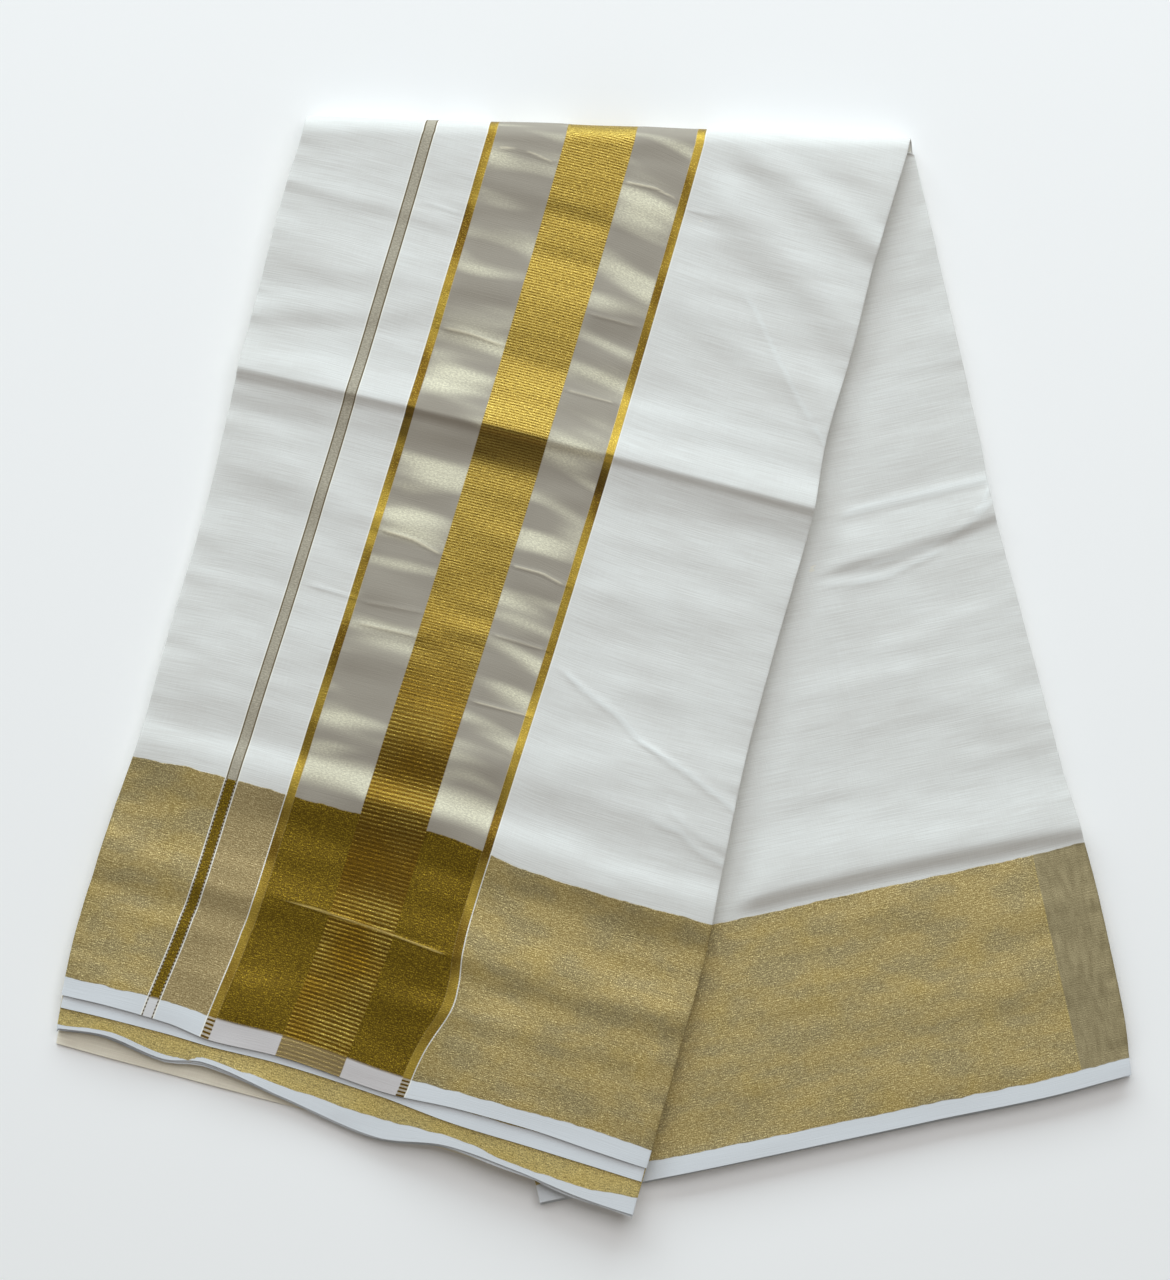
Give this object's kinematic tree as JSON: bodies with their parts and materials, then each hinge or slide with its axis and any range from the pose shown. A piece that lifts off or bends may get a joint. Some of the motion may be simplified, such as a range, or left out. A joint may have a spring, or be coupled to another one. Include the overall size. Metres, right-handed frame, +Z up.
{
  "type": "folded saree",
  "caption": "Cotton saree with woven gold border and end bands, book-folded into a long strip and doubled over so that its two halves fan out, lying flat.",
  "frame": {"origin": "middle of the rectangle that the folded saree covers, on the surface it lies on", "axes": "+Z up from that surface, +Y towards the far fold that both halves hang from, +X to the right, towards the half that lies underneath"},
  "size_m": [0.6024, 0.615, 0.0225],
  "materials": {
    "cotton": "plain woven unbleached cotton, matt with a faint sheen",
    "shaded_cotton": "plain woven cotton seen at its folded edges, matt",
    "zari": "gold zari weft on cotton, fine metallic glitter",
    "pallu": "plain cotton crossed by woven gold and tissue bands, with a gold border along its hem"
  },
  "bodies": {
    "root": {"base_leaf": "cotton", "body_leaf": "cotton", "folded_layers": "shaded_cotton", "inner_leaf": "shaded_cotton", "third_leaf": "zari", "second_leaf": "cotton", "pallu_leaf": "pallu"}
  },
  "joints": []
}
